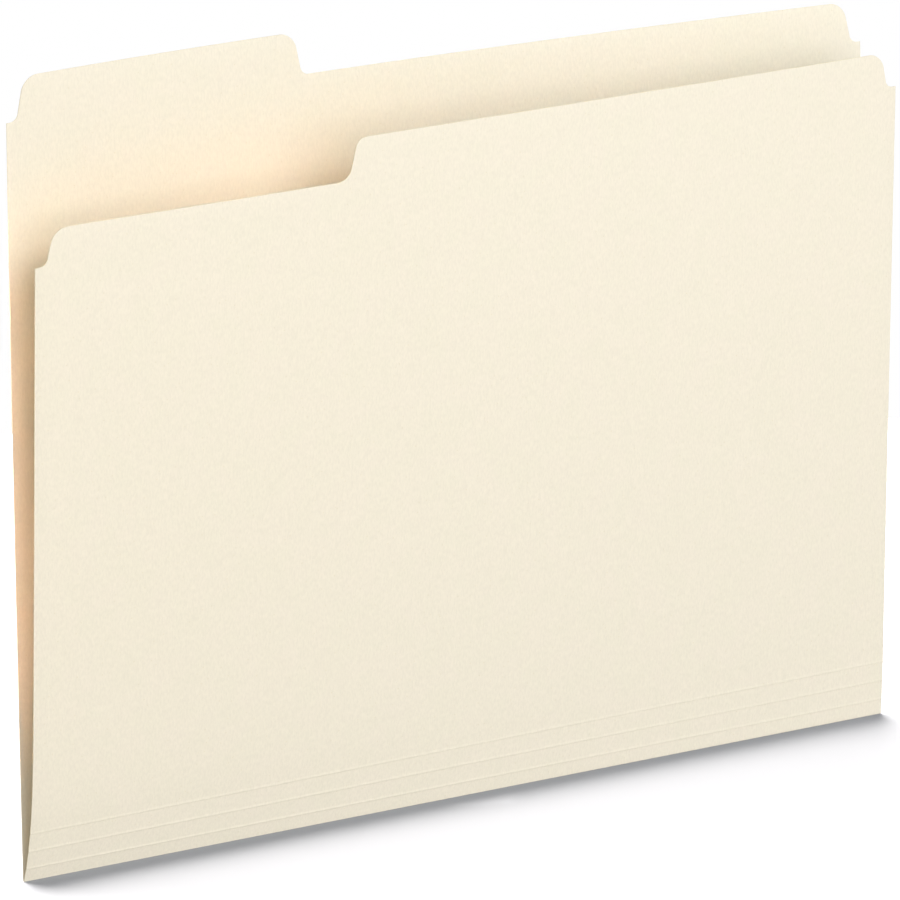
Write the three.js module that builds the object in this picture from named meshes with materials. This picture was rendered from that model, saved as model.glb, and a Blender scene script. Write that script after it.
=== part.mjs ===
// Letter-size file folder with a third-cut tab at the left of its top edge.
// The real one is a single sheet of manila card: die-cut, scored four times and folded once.
// Each stretch of card between two creases is one solid here, and so is each crease.
// Millimetres. +X runs along the fold, +Y from front to back, +Z up.
// The origin is under the middle of the fold, at the height of the fold's lowest line.
import * as THREE from "three";

// The blank
const foldLength = 298.45;
const cardThickness = 0.28;
const backHeight = 228.6;
const tabHeight = 12.7;
const tabLength = 94.2;
const frontHeight = 215.9;
const frontLowHeight = 203.2;
const tabWindowMargin = 4.2;

// The die-cut corners: a hollow below, a crown above, and a steep riser between them
const shoulderInset = 4.6;
const backShoulderDrop = 12.7;
const frontShoulderDrop = 11;
const hollowRadius = 3;
const crownRadius = 5.5;
const stepHollowRadius = 5;
const stepCrownRadius = 3.5;
const riserAngle = 80;
const arcPoints = 5;

// The creases: the main fold, and three score lines that let the bottom widen
const foldWidth = 0.56;
const foldBeadRadius = 0.28;
const foldBeadOffset = 0.02;
const firstScoreHeight = 4.76;
const scorePitch = 6.35;
const scoreCount = 3;
const scoreWidth = 0.9;
const scoreRidge = 0.2;
const foldClearance = 0.3;
const hingeClearance = 0.15;
const scoreClearance = 0.3;

// The form at rest, in degrees from upright, at the left end, the middle and the right end
const backLeanAngles = { left: 1.6, middle: -2.9, right: -4.0 };
const backCurlAngle = 0.7;
const frontLeanAngles = { left: 5.5, middle: 3.8, right: 1.2 };
const frontBulgeAngle = 10.5;
const bulgeReach = 12;
const stripLeanAngles = [
  { left: 25, right: 3.3 },
  { left: 19.5, right: 2.5 },
  { left: 16, right: 2 },
];

// How finely the bowed panels are faceted
const columnSpacing = 22;
const panelRows = 10;
const ridgeRows = 4;

const hingeHeight = foldBeadRadius + foldClearance;
const radians = THREE.MathUtils.degToRad;
const along = (x) => x / foldLength;

const card = (colour) =>
  new THREE.MeshStandardMaterial({ color: colour, roughness: 0.85, metalness: 0 });
const manila = card("#efe5cb");
const manilaCrease = card("#eadfc2");

// An angle given at the left end, the middle and the right end, and smooth between them
function acrossWidth(u, { left, middle, right }) {
  return left * (1 - u) * (1 - 2 * u) + 4 * middle * u * (1 - u) + right * u * (2 * u - 1);
}

// A step up at x in a die-cut top edge, from the low level to the high one, as [x, height] points
function stepUp(x, low, high, hollow, crown) {
  const sweep = radians(riserAngle);
  const curved = (hollow + crown) * (1 - Math.cos(sweep));
  const fit = Math.min(1, (high - low) / curved);
  const riserRun = (high - low - fit * curved) / Math.tan(sweep);
  const points = [];
  for (let i = 0; i <= arcPoints; i++) {
    const turn = (sweep * i) / arcPoints;
    points.push([
      x - riserRun / 2 - fit * hollow * (Math.sin(sweep) - Math.sin(turn)),
      low + fit * hollow * (1 - Math.cos(turn)),
    ]);
  }
  for (let i = arcPoints; i >= 0; i--) {
    const turn = (sweep * i) / arcPoints;
    points.push([
      x + riserRun / 2 + fit * crown * (Math.sin(sweep) - Math.sin(turn)),
      high - fit * crown * (1 - Math.cos(turn)),
    ]);
  }
  return points;
}

// The same step seen the other way round: a step down at x
function stepDown(x, low, high, hollow, crown) {
  return stepUp(-x, low, high, hollow, crown)
    .map(([px, height]) => [-px, height])
    .reverse();
}

// The columns of a panel: its top edge's own points, and more where they lie far apart
function columnsAlong(edge) {
  const columns = [edge[0]];
  for (const [x, height] of edge.slice(1)) {
    const [fromX, fromHeight] = columns[columns.length - 1];
    const parts = Math.max(1, Math.round((x - fromX) / columnSpacing));
    for (let i = 1; i <= parts; i++) {
      const share = i / parts;
      columns.push([fromX + (x - fromX) * share, fromHeight + (height - fromHeight) * share]);
    }
  }
  return columns;
}

// A closed card solid over a grid: place(x, v) is a point of its middle layer, where v runs
// from 0 at the column's lower end to 1 at its upper end
function cardSolid(columns, rows, place) {
  const nudge = 1e-3;
  const points = [];
  for (const side of [0.5, -0.5]) {
    for (const column of columns) {
      for (let j = 0; j <= rows; j++) {
        const v = j / rows;
        const here = place(column, v);
        const right = place([column[0] + nudge, column[1]], v).sub(here);
        const up = place(column, v + nudge).sub(here);
        const outward = right.cross(up).normalize();
        points.push(here.addScaledVector(outward, side * cardThickness));
      }
    }
  }
  const perSide = columns.length * (rows + 1);
  const front = (i, j) => i * (rows + 1) + j;
  const back = (i, j) => perSide + front(i, j);
  const faces = [];
  const quad = (a, b, c, d) => faces.push(a, b, c, a, c, d);
  const last = columns.length - 1;
  for (let i = 0; i < last; i++) {
    for (let j = 0; j < rows; j++) {
      quad(front(i, j), front(i + 1, j), front(i + 1, j + 1), front(i, j + 1));
      quad(back(i, j), back(i, j + 1), back(i + 1, j + 1), back(i + 1, j));
    }
    quad(back(i, 0), back(i + 1, 0), front(i + 1, 0), front(i, 0));
    quad(front(i, rows), front(i + 1, rows), back(i + 1, rows), back(i, rows));
  }
  for (let j = 0; j < rows; j++) {
    quad(front(0, j + 1), back(0, j + 1), back(0, j), front(0, j));
    quad(front(last, j), back(last, j), back(last, j + 1), front(last, j + 1));
  }
  const geometry = new THREE.BufferGeometry().setFromPoints(points);
  geometry.setIndex(faces);
  geometry.computeVertexNormals();
  return geometry;
}

const folder = new THREE.Group();

function addPiece(name, geometry, material) {
  const mesh = new THREE.Mesh(geometry, material);
  mesh.name = name;
  folder.add(mesh);
  return mesh;
}

// A point in the object's frame: x counts from the left end of the fold
const inFrame = (x, y, z) => new THREE.Vector3(x - foldLength / 2, y, z);

// The back panel with its tab, one piece of card from the main fold up
const tabRight = shoulderInset + tabLength;
const backTop = backHeight + tabHeight;
const backEdge = [
  [0, backHeight],
  ...stepUp(shoulderInset, backHeight, backTop, hollowRadius, crownRadius),
  ...stepDown(tabRight, backHeight, backTop, hollowRadius, crownRadius),
  ...stepDown(
    foldLength - shoulderInset, backHeight - backShoulderDrop, backHeight, hollowRadius, crownRadius),
  [foldLength, backHeight - backShoulderDrop],
];

function onBackPanel([x, top], v) {
  const height = hingeClearance + (top - hingeClearance) * v;
  const u = along(x);
  const curl = backCurlAngle * (1 - u) ** 2 * (height / backHeight);
  const lean = radians(acrossWidth(u, backLeanAngles) + curl);
  return inFrame(x, foldWidth / 2 - height * Math.sin(lean), hingeHeight + height * Math.cos(lean));
}

addPiece("back_panel", cardSolid(columnsAlong(backEdge), panelRows, onBackPanel), manila);

// The main fold: the narrow rounded bead of card between its two bend lines
function foldBead() {
  const section = new THREE.Shape();
  section.absarc(0, 0, foldBeadRadius, Math.PI, 2 * Math.PI);
  section.closePath();
  const bead = new THREE.ExtrudeGeometry(section, {
    depth: foldLength, bevelEnabled: false, curveSegments: 2 * arcPoints,
  });
  const turned = new THREE.Matrix4().makeBasis(
    new THREE.Vector3(0, 1, 0), new THREE.Vector3(0, 0, 1), new THREE.Vector3(1, 0, 0));
  return bead.applyMatrix4(turned);
}

const mainFold = addPiece("main_fold", foldBead(), manilaCrease);
mainFold.position.copy(inFrame(0, -foldWidth / 2 - foldBeadOffset, foldBeadRadius));

// The creases of the front: line 0 is the main fold's front bend, lines 1 to 3 are the scores
const creaseHeight = (line) => (line === 0 ? 0 : firstScoreHeight + scorePitch * (line - 1));

function creaseEnd(line, end) {
  const point = { y: -foldWidth / 2, z: hingeHeight };
  for (let i = 0; i < line; i++) {
    const width = creaseHeight(i + 1) - creaseHeight(i);
    const lean = radians(stripLeanAngles[i][end]);
    point.y -= width * Math.sin(lean);
    point.z += width * Math.cos(lean);
  }
  return point;
}

function onCrease(line, x) {
  const u = along(x);
  const left = creaseEnd(line, "left");
  const right = creaseEnd(line, "right");
  return inFrame(x, left.y * (1 - u) + right.y * u, left.z * (1 - u) + right.z * u);
}

const fullWidth = [[0], [foldLength]];
const scoreMargin = scoreWidth / 2 + scoreClearance;

// The strips of card between the creases, each flat across
for (let line = 0; line < scoreCount; line++) {
  const lowMargin = line === 0 ? hingeClearance : scoreMargin;
  const width = creaseHeight(line + 1) - creaseHeight(line);
  const onStrip = ([x], v) => {
    const share = (lowMargin + (width - lowMargin - scoreMargin) * v) / width;
    return onCrease(line, x).lerp(onCrease(line + 1, x), share);
  };
  addPiece(`strip_${line + 1}`, cardSolid(fullWidth, 1, onStrip), manila);
}

// The front panel rises from the last score, bulging at its left end and bowed across
const panelStart = creaseHeight(scoreCount);
const stepX = tabRight + tabWindowMargin;
const frontEdge = [
  [0, frontLowHeight - frontShoulderDrop],
  ...stepUp(
    shoulderInset, frontLowHeight - frontShoulderDrop, frontLowHeight, hollowRadius, crownRadius),
  ...stepUp(stepX, frontLowHeight, frontHeight, stepHollowRadius, stepCrownRadius),
  ...stepDown(
    foldLength - shoulderInset, frontHeight - frontShoulderDrop, frontHeight,
    hollowRadius, crownRadius),
  [foldLength, frontHeight - frontShoulderDrop],
];

function frontPoint(x, rise) {
  const u = along(x);
  const fading = (bulgeReach / rise) * (1 - Math.exp(-rise / bulgeReach));
  const lean = radians(acrossWidth(u, frontLeanAngles) + frontBulgeAngle * (1 - u) * fading);
  const offset = new THREE.Vector3(0, -rise * Math.sin(lean), rise * Math.cos(lean));
  return onCrease(scoreCount, x).add(offset);
}

// The rows lie closer together near the score, where the card bends most
function onFrontPanel([x, top], v) {
  const rise = scoreMargin + (top - panelStart - scoreMargin) * v * v;
  return frontPoint(x, rise);
}

addPiece("front_panel", cardSolid(columnsAlong(frontEdge), panelRows, onFrontPanel), manila);

// The scores: pressed ridges that stand proud of the outer face, each a living hinge
for (let line = 1; line <= scoreCount; line++) {
  const onScore = ([x], v) => {
    const here = onCrease(line, x);
    const below = onCrease(line - 1, x);
    const above = line === scoreCount ? frontPoint(x, scorePitch) : onCrease(line + 1, x);
    const up = above.sub(below).normalize();
    const outward = new THREE.Vector3(1, 0, 0).cross(up).normalize();
    const across = 2 * v - 1;
    return here
      .addScaledVector(up, (across * scoreWidth) / 2)
      .addScaledVector(outward, scoreRidge * (1 - across * across));
  };
  addPiece(`score_${line}`, cardSolid(fullWidth, ridgeRows, onScore), manilaCrease);
}

export default folder;
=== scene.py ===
# A letter-size manila file folder with a third-cut tab, standing on its fold in a white studio.
# Lengths are in metres. +X runs along the fold, +Y from front to back, +Z up.
import math

import bpy
from mathutils import Matrix, Vector


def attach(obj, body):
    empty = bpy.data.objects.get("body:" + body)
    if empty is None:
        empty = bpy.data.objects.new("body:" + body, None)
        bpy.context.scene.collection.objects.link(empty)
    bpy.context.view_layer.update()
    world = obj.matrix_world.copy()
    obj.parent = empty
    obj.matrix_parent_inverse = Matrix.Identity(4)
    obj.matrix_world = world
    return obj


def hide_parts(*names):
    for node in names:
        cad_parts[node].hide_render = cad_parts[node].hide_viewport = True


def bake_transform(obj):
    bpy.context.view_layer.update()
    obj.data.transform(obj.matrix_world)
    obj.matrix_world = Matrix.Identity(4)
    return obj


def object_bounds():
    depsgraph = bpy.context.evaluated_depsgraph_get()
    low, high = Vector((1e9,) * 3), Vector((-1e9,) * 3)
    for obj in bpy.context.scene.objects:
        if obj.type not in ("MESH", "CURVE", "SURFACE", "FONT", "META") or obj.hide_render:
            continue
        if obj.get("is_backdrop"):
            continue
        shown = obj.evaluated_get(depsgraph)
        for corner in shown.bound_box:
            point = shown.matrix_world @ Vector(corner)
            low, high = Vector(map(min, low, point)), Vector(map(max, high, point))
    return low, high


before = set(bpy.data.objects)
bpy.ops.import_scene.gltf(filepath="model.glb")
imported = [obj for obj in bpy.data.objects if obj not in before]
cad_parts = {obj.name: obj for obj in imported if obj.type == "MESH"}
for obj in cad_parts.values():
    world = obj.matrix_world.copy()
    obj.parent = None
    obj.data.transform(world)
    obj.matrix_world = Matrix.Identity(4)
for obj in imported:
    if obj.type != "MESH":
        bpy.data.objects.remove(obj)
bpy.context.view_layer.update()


# The camera
# A long lens, as for a catalogue picture, seen from the front left and a little above.
# Its place and turn were fitted to the folder's edges in the photograph.
mm = 0.001
image_width = 900
sensor_width = 36
focal_length = 5115
camera_azimuth = math.radians(-28.095)
camera_elevation = math.radians(15.996)
camera_roll = math.radians(-0.82)
camera_distance = 1535.1 * mm
camera_target = Vector((-5.38 * mm, 0, 110.54 * mm))

back_of_view = Vector((
    math.sin(camera_azimuth) * math.cos(camera_elevation),
    -math.cos(camera_azimuth) * math.cos(camera_elevation),
    math.sin(camera_elevation),
))
level_right = Vector((math.cos(camera_azimuth), math.sin(camera_azimuth), 0))
level_up = back_of_view.cross(level_right)
view_right = level_right * math.cos(camera_roll) + level_up * math.sin(camera_roll)
view_up = level_up * math.cos(camera_roll) - level_right * math.sin(camera_roll)

lens = bpy.data.cameras.new("long_lens")
lens.sensor_width = sensor_width
lens.lens = focal_length / image_width * sensor_width
lens.clip_start = 0.1
lens.clip_end = 20
camera = bpy.data.objects.new("camera", lens)
bpy.context.scene.collection.objects.link(camera)
turned = Matrix((view_right, view_up, back_of_view)).transposed().to_4x4()
camera.matrix_world = Matrix.Translation(camera_target + back_of_view * camera_distance) @ turned
bpy.context.scene.camera = camera


# The back panel
# The taller half of one sheet of manila card, die-cut with a rounded tab at its top left.
# It is cut flat here, given its thickness, and then bent to the slight bow of a used folder.
card_thickness = 0.28 * mm
fold_length = 298.45 * mm
fold_width = 0.56 * mm
hinge_height = 0.58 * mm
fold_reach = 1.2 * mm
back_height = 228.6 * mm
tab_height = 12.7 * mm
tab_length = 94.2 * mm
shoulder_inset = 4.6 * mm
back_shoulder_drop = 12.7 * mm
hollow_radius = 3 * mm
crown_radius = 5.5 * mm
riser_angle = math.radians(80)
back_lean = (1.6, -2.9, -4.0)
back_curl = 0.7
edge_rounding = 0.12 * mm
panel_row_gap = 6 * mm

tab_right = shoulder_inset + tab_length
back_top = back_height + tab_height


def across_width(u, left, middle, right):
    """An angle given at the left end, the middle and the right end, and smooth between them."""
    return left * (1 - u) * (1 - 2 * u) + 4 * middle * u * (1 - u) + right * u * (2 * u - 1)


def on_back_panel(x, height):
    """A point of the back panel's middle layer, from its place on the flat card."""
    u = x / fold_length
    curl = back_curl * (1 - u) ** 2 * height / back_height
    lean = math.radians(across_width(u, *back_lean) + curl)
    return Vector((
        x - fold_length / 2,
        fold_width / 2 - height * math.sin(lean),
        hinge_height + height * math.cos(lean),
    ))


def edit(select_mode="FACE"):
    """Into edit mode, with everything on the card selected."""
    bpy.ops.object.mode_set(mode="EDIT")
    bpy.ops.mesh.select_mode(type=select_mode)
    bpy.ops.mesh.select_all(action="SELECT")


def pick(kind, wanted):
    """Selects only the vertices, or the faces by their middles, that pass the test."""
    bpy.ops.mesh.select_all(action="DESELECT")
    bpy.ops.object.mode_set(mode="OBJECT")
    mesh = bpy.context.object.data
    for vertex in mesh.vertices:
        vertex.select = kind == "VERT" and wanted(vertex.co)
    for face in mesh.polygons:
        face.select = kind == "FACE" and wanted(face.center)
    bpy.ops.object.mode_set(mode="EDIT")


def slice_at(point, normal):
    """Cuts the whole blank along a plane."""
    bpy.ops.mesh.select_all(action="SELECT")
    bpy.ops.mesh.bisect(plane_co=point, plane_no=normal)


def near(value, place):
    return abs(value - place) < 0.01 * mm


def round_corner(x, height, radius):
    """Rounds the corner of a die-cut edge with an arc of that radius."""
    pick("VERT", lambda co: near(co.x, x) and near(co.z, height))
    reach = radius * math.tan(riser_angle / 2)
    bpy.ops.mesh.bevel(
        offset_type="ABSOLUTE", offset=reach, segments=10, profile=0.5, affect="VERTICES")


def die_cut(name, bottom, levels, steps, radii):
    """A flat blank whose top edge steps between levels, with a hollow and a crown at each step."""
    bpy.ops.object.select_all(action="DESELECT")
    top = max(levels)
    bpy.ops.mesh.primitive_plane_add(
        size=1, location=(fold_length / 2, 0, (bottom + top) / 2), rotation=(math.pi / 2, 0, 0))
    blank = bpy.context.object
    blank.name = name
    blank.scale = (fold_length, top - bottom, 1)
    bpy.ops.object.transform_apply(location=True, rotation=True, scale=True)
    edit()
    for step in steps:
        slice_at((step, 0, 0), (1, 0, 0))
    for level in levels:
        if level < top:
            slice_at((0, 0, level), (0, 0, 1))

    def level_over(x):
        return levels[sum(step < x for step in steps)]

    pick("FACE", lambda co: co.z > level_over(co.x))
    bpy.ops.mesh.delete(type="FACE")
    bpy.ops.mesh.select_all(action="SELECT")
    bpy.ops.mesh.dissolve_limited(angle_limit=math.radians(1))

    for step, before, after, (hollow, crown) in zip(steps, levels, levels[1:], radii):
        low, high = min(before, after), max(before, after)
        uphill = 1 if after > before else -1
        curved = 1 - math.cos(riser_angle)
        middle = (high - low + (hollow - crown) * curved) / 2
        for height, radius, lift in ((low, hollow, -middle), (high, crown, high - low - middle)):
            shift = uphill * lift / math.tan(riser_angle)
            pick("VERT", lambda co: near(co.x, step) and near(co.z, height))
            bpy.ops.transform.translate(value=(shift, 0, 0))
            round_corner(step + shift, height, radius)
    return blank


def thicken_and_bend(card, rows, place, seams):
    """Slices the flat blank finely, gives it its thickness, softens its cut edges and bends it."""
    columns = 56
    for i in range(1, columns):
        slice_at((fold_length * i / columns, 0, 0), (1, 0, 0))
    for height in rows:
        slice_at((0, 0, height), (0, 0, 1))
    bpy.ops.object.mode_set(mode="OBJECT")

    wall = card.modifiers.new("thickness", "SOLIDIFY")
    wall.thickness = card_thickness
    wall.offset = 0
    # The rim takes the second material, the lighter card whose paleness is a painted highlight
    # along the cut edges
    wall.material_offset_rim = 1
    bpy.ops.object.modifier_apply(modifier=wall.name)

    edit("EDGE")
    bpy.ops.mesh.select_all(action="DESELECT")
    bpy.ops.mesh.edges_select_sharp(sharpness=math.radians(50))
    bpy.ops.object.mode_set(mode="OBJECT")
    mesh = card.data
    for edge in mesh.edges:
        middle = (mesh.vertices[edge.vertices[0]].co + mesh.vertices[edge.vertices[1]].co) / 2
        if any(near(middle.z, seam) for seam in seams):
            edge.select = False
    bpy.ops.object.mode_set(mode="EDIT")
    bpy.ops.mesh.bevel(offset=edge_rounding, segments=3, affect="EDGES")
    bpy.ops.object.mode_set(mode="OBJECT")
    bend(card, place)


def bend(card, place):
    """Moves each point of the flat card to where the bent sheet has it, square to the sheet."""
    nudge = 0.001 * mm
    for vertex in card.data.vertices:
        x, aside, height = vertex.co
        here = place(x, height)
        rightward = place(x + nudge, height) - here
        upward = place(x, height + nudge) - here
        backward = upward.cross(rightward).normalized()
        vertex.co = here + backward * aside
    bpy.ops.object.select_all(action="DESELECT")
    card.select_set(True)
    bpy.context.view_layer.objects.active = card
    bpy.ops.object.shade_smooth_by_angle(angle=math.radians(35))


def evenly(low, high, gap):
    """Heights from low to high, about that gap apart, without the two ends."""
    count = max(1, round((high - low) / gap))
    return [low + (high - low) * i / count for i in range(1, count)]


def linear(hex_colour):
    """An sRGB hex colour as linear red, green, blue and alpha."""
    channels = [int(hex_colour[i:i + 2], 16) / 255 for i in (1, 3, 5)]
    return [c / 12.92 if c <= 0.04045 else ((c + 0.055) / 1.055) ** 2.4 for c in channels] + [1]


def add_node(tree, kind, settings=None, **links):
    """Adds one node, sets its properties and sockets, and links what comes from other nodes."""
    node = tree.nodes.new(kind)
    for name, value in (settings or {}).items():
        if isinstance(name, str) and hasattr(node, name):
            setattr(node, name, value)
        else:
            node.inputs[name].default_value = value
    for name, source in links.items():
        target = node.inputs[int(name[1:]) if name[1:].isdigit() else name.replace("_", " ")]
        tree.links.new(source, target)
    return node


def manila_card(name, face, warm, speck):
    """Manila card: tinted wood pulp, pressed smooth but not coated.

    It gives a soft matt cream, a little cloudy where the pulp lies thicker, with a fine grain of
    fibres and a few darker specks.
    """
    material = bpy.data.materials.new(name)
    material.use_nodes = True
    tree = material.node_tree
    shader = tree.nodes["Principled BSDF"]
    place = add_node(tree, "ShaderNodeTexCoord").outputs["Object"]

    cloud_size = 9 * mm
    clouds = add_node(
        tree, "ShaderNodeTexNoise", {"Scale": 1 / cloud_size, "Detail": 2}, Vector=place)
    cloudy = add_node(
        tree, "ShaderNodeMapRange", {"From Min": 0.35, "From Max": 0.65},
        Value=clouds.outputs["Fac"])
    tint = add_node(
        tree, "ShaderNodeMix", {"data_type": "RGBA"}, i0=cloudy.outputs["Result"])
    tint.inputs[6].default_value = linear(face)
    tint.inputs[7].default_value = linear(warm)

    fibre_width = 0.55 * mm
    along_grain = add_node(
        tree, "ShaderNodeMapping", {"Scale": (1, 1, 0.4)}, Vector=place)
    fibres = add_node(
        tree, "ShaderNodeTexNoise", {"Scale": 1 / fibre_width, "Detail": 2},
        Vector=along_grain.outputs["Vector"])
    grain = add_node(
        tree, "ShaderNodeMapRange",
        {"From Min": 0.3, "From Max": 0.7, "To Min": 0.968, "To Max": 1.032},
        Value=fibres.outputs["Fac"])
    grained = add_node(
        tree, "ShaderNodeVectorMath", {"operation": "SCALE"},
        i0=tint.outputs[2], Scale=grain.outputs["Result"])

    speck_spacing = 2.4 * mm
    cells = add_node(
        tree, "ShaderNodeTexVoronoi", {"Scale": 1 / speck_spacing}, Vector=place)
    speckled = add_node(
        tree, "ShaderNodeMapRange",
        {"From Min": 0.06, "From Max": 0.12, "To Min": 0.35, "To Max": 0},
        Value=cells.outputs["Distance"])
    finished = add_node(
        tree, "ShaderNodeMix", {"data_type": "RGBA"}, i0=speckled.outputs["Result"],
        i6=grained.outputs["Vector"])
    finished.inputs[7].default_value = linear(speck)
    tree.links.new(finished.outputs[2], shader.inputs["Base Color"])

    fibre_relief = 0.007 * mm
    relief = add_node(
        tree, "ShaderNodeBump", {"Strength": 1, "Distance": fibre_relief},
        Height=fibres.outputs["Fac"])
    tree.links.new(relief.outputs["Normal"], shader.inputs["Normal"])
    shader.inputs["Roughness"].default_value = 0.8
    shader.inputs["IOR"].default_value = 1.45
    shader.inputs["Specular IOR Level"].default_value = 0.3
    return material


card_face = manila_card("manila_card", "#f6eedc", "#f5eedb", "#e6dbbc")
# The cut edges get a lighter copy of the card: that paleness is a painted highlight, standing in
# for the light the edges catch
cut_edge_painted_highlight = manila_card("manila_cut_edge_painted_highlight", "#fff6dc", "#fdf2d2", "#e8d9b4")

shoulders = (hollow_radius, crown_radius)
back_panel = die_cut(
    "back_panel_card", fold_reach,
    (back_height, back_top, back_height, back_height - back_shoulder_drop),
    (shoulder_inset, tab_right, fold_length - shoulder_inset),
    (shoulders, shoulders, shoulders))
back_panel.data.materials.append(card_face)
back_panel.data.materials.append(cut_edge_painted_highlight)
thicken_and_bend(
    back_panel, evenly(fold_reach, back_top, panel_row_gap), on_back_panel, [fold_reach])
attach(back_panel, "back")
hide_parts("back_panel")


# The creases of the front
# The front leaves the main fold as three narrow strips, each ruled straight between two creases.
# They lean further forward at the left end, where this folder stands open.
first_score_height = 4.76 * mm
score_pitch = 6.35 * mm
score_count = 3
score_reach = 0.75 * mm
score_width = 1.2 * mm
score_ridge = 0.15 * mm
strip_leans = ((25, 3.3), (19.5, 2.5), (16, 2))


def crease_height(line):
    """How far up the flat card a crease lies: line 0 is the main fold, 1 to 3 are the scores."""
    return 0 if line == 0 else first_score_height + score_pitch * (line - 1)


def crease_end(line, end):
    """Where a crease meets the card's left end (0) or right end (1), seen along the fold."""
    point = Vector((0, -fold_width / 2, hinge_height))
    for i in range(line):
        lean = math.radians(strip_leans[i][end])
        width = crease_height(i + 1) - crease_height(i)
        point += width * Vector((0, -math.sin(lean), math.cos(lean)))
    return point


def on_crease(line, x):
    point = crease_end(line, 0).lerp(crease_end(line, 1), x / fold_length)
    return point + Vector((x - fold_length / 2, 0, 0))


def on_strips(x, height):
    """A point of the three strips' middle layer, straight between the creases."""
    line = min(score_count - 1, sum(height > crease_height(i) for i in range(1, score_count)))
    low, high = crease_height(line), crease_height(line + 1)
    return on_crease(line, x).lerp(on_crease(line + 1, x), (height - low) / (high - low))


# The front panel
# The lower half of the sheet, with a still lower stretch at the left so that the whole tab shows.
# It bulges out over the scores at its left end, and is pinched flat at its right end.
front_height = 215.9 * mm
front_low_height = 203.2 * mm
front_shoulder_drop = 11 * mm
tab_window_margin = 4.2 * mm
step_hollow_radius = 5 * mm
step_crown_radius = 3.5 * mm
front_lean = (5.5, 3.8, 1.2)
front_bulge = 10.5
bulge_reach = 12 * mm


def on_front_panel(x, height):
    """A point of the front panel's middle layer, from its place on the flat card."""
    u = x / fold_length
    rise = max(height - crease_height(score_count), 0.01 * mm)
    fading = bulge_reach / rise * (1 - math.exp(-rise / bulge_reach))
    lean = math.radians(across_width(u, *front_lean) + front_bulge * (1 - u) * fading)
    return on_crease(score_count, x) + rise * Vector((0, -math.sin(lean), math.cos(lean)))


front_bottom = crease_height(score_count) + score_reach
front_panel = die_cut(
    "front_panel_card", front_bottom,
    (front_low_height - front_shoulder_drop, front_low_height, front_height,
     front_height - front_shoulder_drop),
    (shoulder_inset, tab_right + tab_window_margin, fold_length - shoulder_inset),
    (shoulders, (step_hollow_radius, step_crown_radius), shoulders))
front_panel.data.materials.append(card_face)
front_panel.data.materials.append(cut_edge_painted_highlight)
bulge_top = front_bottom + 40 * mm
bulge_row_gap = 2 * mm
front_rows = [
    *evenly(front_bottom, bulge_top, bulge_row_gap),
    bulge_top,
    *evenly(bulge_top, front_height, panel_row_gap),
]
thicken_and_bend(front_panel, front_rows, on_front_panel, [front_bottom])
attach(front_panel, "front")
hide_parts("front_panel")


# The strips
# Each strip is a plain band of the same card between two pressed lines.
# The pieces below the second score are noted, because they shape the shadow on the floor.
low_pieces = []
strip_row_gap = 1.5 * mm
crease_row_gap = 0.1 * mm


def band(name, bottom, top, gap, place):
    """A plain band of card from one height on the sheet to another, full width."""
    blank = die_cut(name, bottom, (top,), (), ())
    blank.data.materials.append(card_face)
    blank.data.materials.append(cut_edge_painted_highlight)
    thicken_and_bend(blank, evenly(bottom, top, gap), place, [bottom, top])
    if top < crease_height(2):
        low_pieces.append(blank)
    return blank


for line in range(score_count):
    bottom = fold_reach if line == 0 else crease_height(line) + score_reach
    top = crease_height(line + 1) - score_reach
    strip = band(f"strip_{line + 1}_card", bottom, top, strip_row_gap, on_strips)
    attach(strip, "gusset")
    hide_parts(f"strip_{line + 1}")


# The scores
# Lines pressed into the card from inside, which raise a low round ridge on the outer face.
# The folder widens at the last one; that ridge is shaped between the strips and the front panel
# and stays fixed where it is built.
def on_score(line):
    """The middle layer across one score, by height on the sheet."""
    above = on_front_panel if line == score_count else on_strips

    def place(x, height):
        away = height - crease_height(line)
        base = on_strips(x, height) if away < 0 else above(x, height)
        share = min(1, abs(away) / (score_width / 2))
        ridge = score_ridge * math.cos(share * math.pi / 2) ** 2
        upper = above(x, crease_height(line) + score_reach)
        lower = on_strips(x, crease_height(line) - score_reach)
        outward = Vector((1, 0, 0)).cross(upper - lower)
        return base + outward.normalized() * ridge
    return place


for line in range(1, score_count + 1):
    low = crease_height(line) - score_reach
    high = crease_height(line) + score_reach
    score = band(f"score_{line}_ridge", low, high, crease_row_gap, on_score(line))
    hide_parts(f"score_{line}")
    if line < score_count:
        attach(score, "gusset")
    else:
        left_end, right_end = on_crease(line, 0), on_crease(line, fold_length)
        along = (right_end - left_end).normalized()
        up = Vector((0, 0, 1))
        up = (up - along * up.dot(along)).normalized() * score_reach * 0.9
        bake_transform(score)


# The main fold
# One sharp crease, pressed flat at the works, where the card turns right round on itself.
# In the real folder each panel turns about its own side of the crease; here the two halves, one on
# each side, stay fixed where they are built.
fold_depth = 0.42 * mm


def round_fold(side):
    """The middle layer round one half of the fold. Height 0 is its lowest line, at the middle."""
    edge = on_back_panel if side > 0 else on_strips

    def place(x, height):
        quarter = math.pi / 4 * fold_width
        if height > quarter:
            return edge(x, (height - quarter) / (half_girth - quarter) * fold_reach)
        turn = height / quarter * math.pi / 2
        return Vector((
            x - fold_length / 2,
            side * fold_width / 2 * math.sin(turn),
            hinge_height - fold_depth * math.cos(turn),
        ))
    return place


half_girth = math.pi / 4 * fold_width + fold_reach
for side, body, name in ((1, "back", "fold_back_half"), (-1, "gusset", "fold_front_half")):
    half = band(name, 0, half_girth, crease_row_gap, round_fold(side))
    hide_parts("main_fold")
    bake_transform(half)


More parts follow.
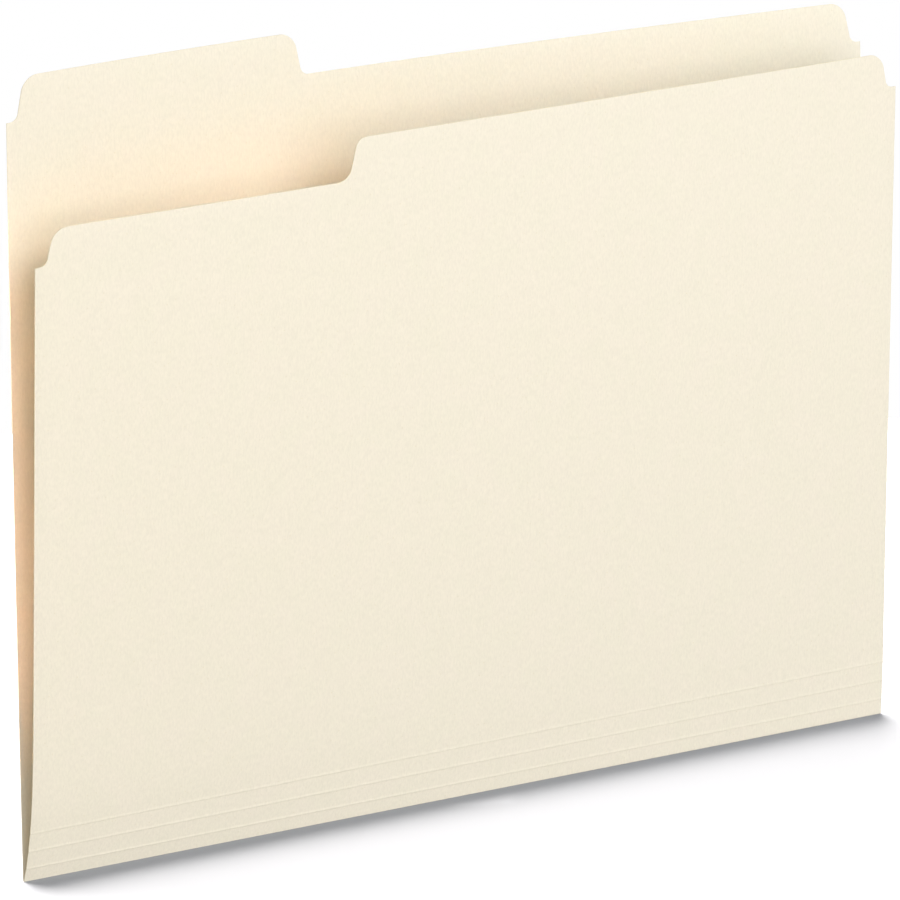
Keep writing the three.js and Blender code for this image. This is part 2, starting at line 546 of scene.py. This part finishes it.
# The studio
# A white paper floor that runs on into a white room, as for a catalogue picture.
# Large softboxes stand in front and behind, and small reflectors light the card inside the folder.
# A lamp for the floor alone shines from behind and lays the narrow shadow along the fold.
def camera_ray(tree):
    """1 where the camera, a reflection or glass looks, and 0 where light falls."""
    path = add_node(tree, "ShaderNodeLightPath")
    first = add_node(
        tree, "ShaderNodeMath", {"operation": "MAXIMUM"},
        i0=path.outputs["Is Camera Ray"], i1=path.outputs["Is Glossy Ray"])
    return add_node(
        tree, "ShaderNodeMath", {"operation": "MAXIMUM"},
        i0=first.outputs[0], i1=path.outputs["Is Transmission Ray"]).outputs[0]


paper_floor = bpy.data.materials.new("white_paper_floor")
paper_floor.use_nodes = True
tree = paper_floor.node_tree

# A cool grey gives a faintly blue shadow, and the floor lamp's warm tint makes the rest white
matt = tree.nodes["Principled BSDF"]
matt.inputs["Base Color"].default_value = linear("#a5a9b2")
matt.inputs["Roughness"].default_value = 1
matt.inputs["Specular IOR Level"].default_value = 0

# The light that the floor throws up on the card, given evenly because the real floor is far larger
floor_light = 0.58
floor_radius = 0.45
bounce = add_node(
    tree, "ShaderNodeEmission", {"Color": linear("#ffffff"), "Strength": floor_light})
seen_or_bounced = add_node(
    tree, "ShaderNodeMixShader",
    i0=camera_ray(tree), i1=bounce.outputs["Emission"], i2=matt.outputs["BSDF"])
tree.links.new(seen_or_bounced.outputs[0], tree.nodes["Material Output"].inputs["Surface"])

bpy.ops.object.select_all(action="DESELECT")
bpy.ops.mesh.primitive_circle_add(
    vertices=96, radius=floor_radius, fill_type="NGON", location=(0, 0, 0))
floor = bpy.context.object
floor.name = "studio_floor"
floor.data.materials.append(paper_floor)
floor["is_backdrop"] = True

world = bpy.data.worlds.new("white_room")
world.use_nodes = True
bpy.context.scene.world = world
tree = world.node_tree
room_light = 0.14
sky = tree.nodes["Background"]
sky.inputs["Color"].default_value = linear("#ffffff")

# Below the horizon the white floor goes on, so the light from there is as strong as the floor's
direction = add_node(tree, "ShaderNodeTexCoord").outputs["Generated"]
upward = add_node(tree, "ShaderNodeSeparateXYZ", Vector=direction)
horizon = add_node(
    tree, "ShaderNodeMapRange",
    {"From Min": -0.03, "From Max": 0.01, "To Min": floor_light, "To Max": room_light},
    Value=upward.outputs["Z"])
level = add_node(tree, "ShaderNodeMapRange", {"To Max": 1.0}, Value=camera_ray(tree))
tree.links.new(horizon.outputs["Result"], level.inputs["To Min"])
tree.links.new(level.outputs["Result"], sky.inputs["Strength"])


def hang_lamp(name, place, aim, width, depth, power, colour="#ffffff", roll=0):
    """A rectangular lamp hung at place and facing aim: metres, watts, and degrees of roll."""
    soft = bpy.data.lights.new(name, "AREA")
    soft.shape = "RECTANGLE"
    soft.size = width
    soft.size_y = depth
    soft.energy = power
    soft.color = linear(colour)[:3]
    lamp = bpy.data.objects.new(name, soft)
    bpy.context.scene.collection.objects.link(lamp)
    facing = (Vector(place) - Vector(aim)).to_track_quat("Z", "Y").to_matrix().to_4x4()
    rolled = Matrix.Rotation(math.radians(roll), 4, "Z")
    lamp.matrix_world = Matrix.Translation(Vector(place)) @ facing @ rolled
    return lamp


# One softbox high in front, one low beside the camera, a small warm one at the left, one behind
folder_middle = (0, 0, 0.11)
hang_lamp("front_softbox", (0.3, -1.5, 1.3), folder_middle, 1.4, 0.7, 16.5)
hang_lamp("camera_softbox", (0.1, -1.25, 0.45), folder_middle, 1.6, 0.7, 6.6)
hang_lamp("left_softbox", (-0.55, -0.5, 0.08), (-0.1, 0, 0.06), 0.3, 0.3, 0.24, "#ffda6a")
hang_lamp("back_softbox", (0, 1.22, 0.55), folder_middle, 1.2, 0.9, 13)

# Three narrow beams that fall on the back panel only: one into the open left end, one beside the
# front's step and one along the front's top edge
inner_face = bpy.data.collections.new("lit_by_reflectors")
inner_face.objects.link(back_panel)
end_beam = hang_lamp(
    "gold_end_reflector", (-0.62, -0.14, 0.125), (-0.149, -0.01, 0.127),
    0.08, 0.15, 0.047, "#ffcba5")
end_beam.data.spread = math.radians(8)
step_beam = hang_lamp(
    "gold_step_reflector", (-0.5, -0.35, 0.42), (-0.038, -0.005, 0.184),
    0.05, 0.03, 0.0012, "#ffb02e")
step_beam.data.spread = math.radians(6)
edge_beam = hang_lamp(
    "cool_edge_reflector", (0.3, -0.7, 0.85), (0.085, 0, 0.2), 0.2, 0.1, 0.021, "#c8e6ff")
edge_beam.data.spread = math.radians(24)
for beam in (end_beam, step_beam, edge_beam):
    beam.light_linking.receiver_collection = inner_face

# The floor's own lamp is shaded by the lowest pieces alone, as the photograph's shadow is narrow
floor_lamp = hang_lamp("floor_lamp", (0, 0.564, 0.637), (0, 0, 0), 1.69, 0.83, 58, "#fff6ea", 34)
lit_floor = bpy.data.collections.new("lit_by_floor_lamp")
lit_floor.objects.link(floor)
floor_lamp.light_linking.receiver_collection = lit_floor
shading_pieces = bpy.data.collections.new("shades_floor_lamp")
for piece in low_pieces:
    shading_pieces.objects.link(piece)
floor_lamp.light_linking.blocker_collection = shading_pieces

# Light is thrown to and fro many times between two pale panels before it fades
bpy.context.scene.cycles.diffuse_bounces = 12
bpy.context.scene.view_settings.view_transform = "Standard"

low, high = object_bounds()
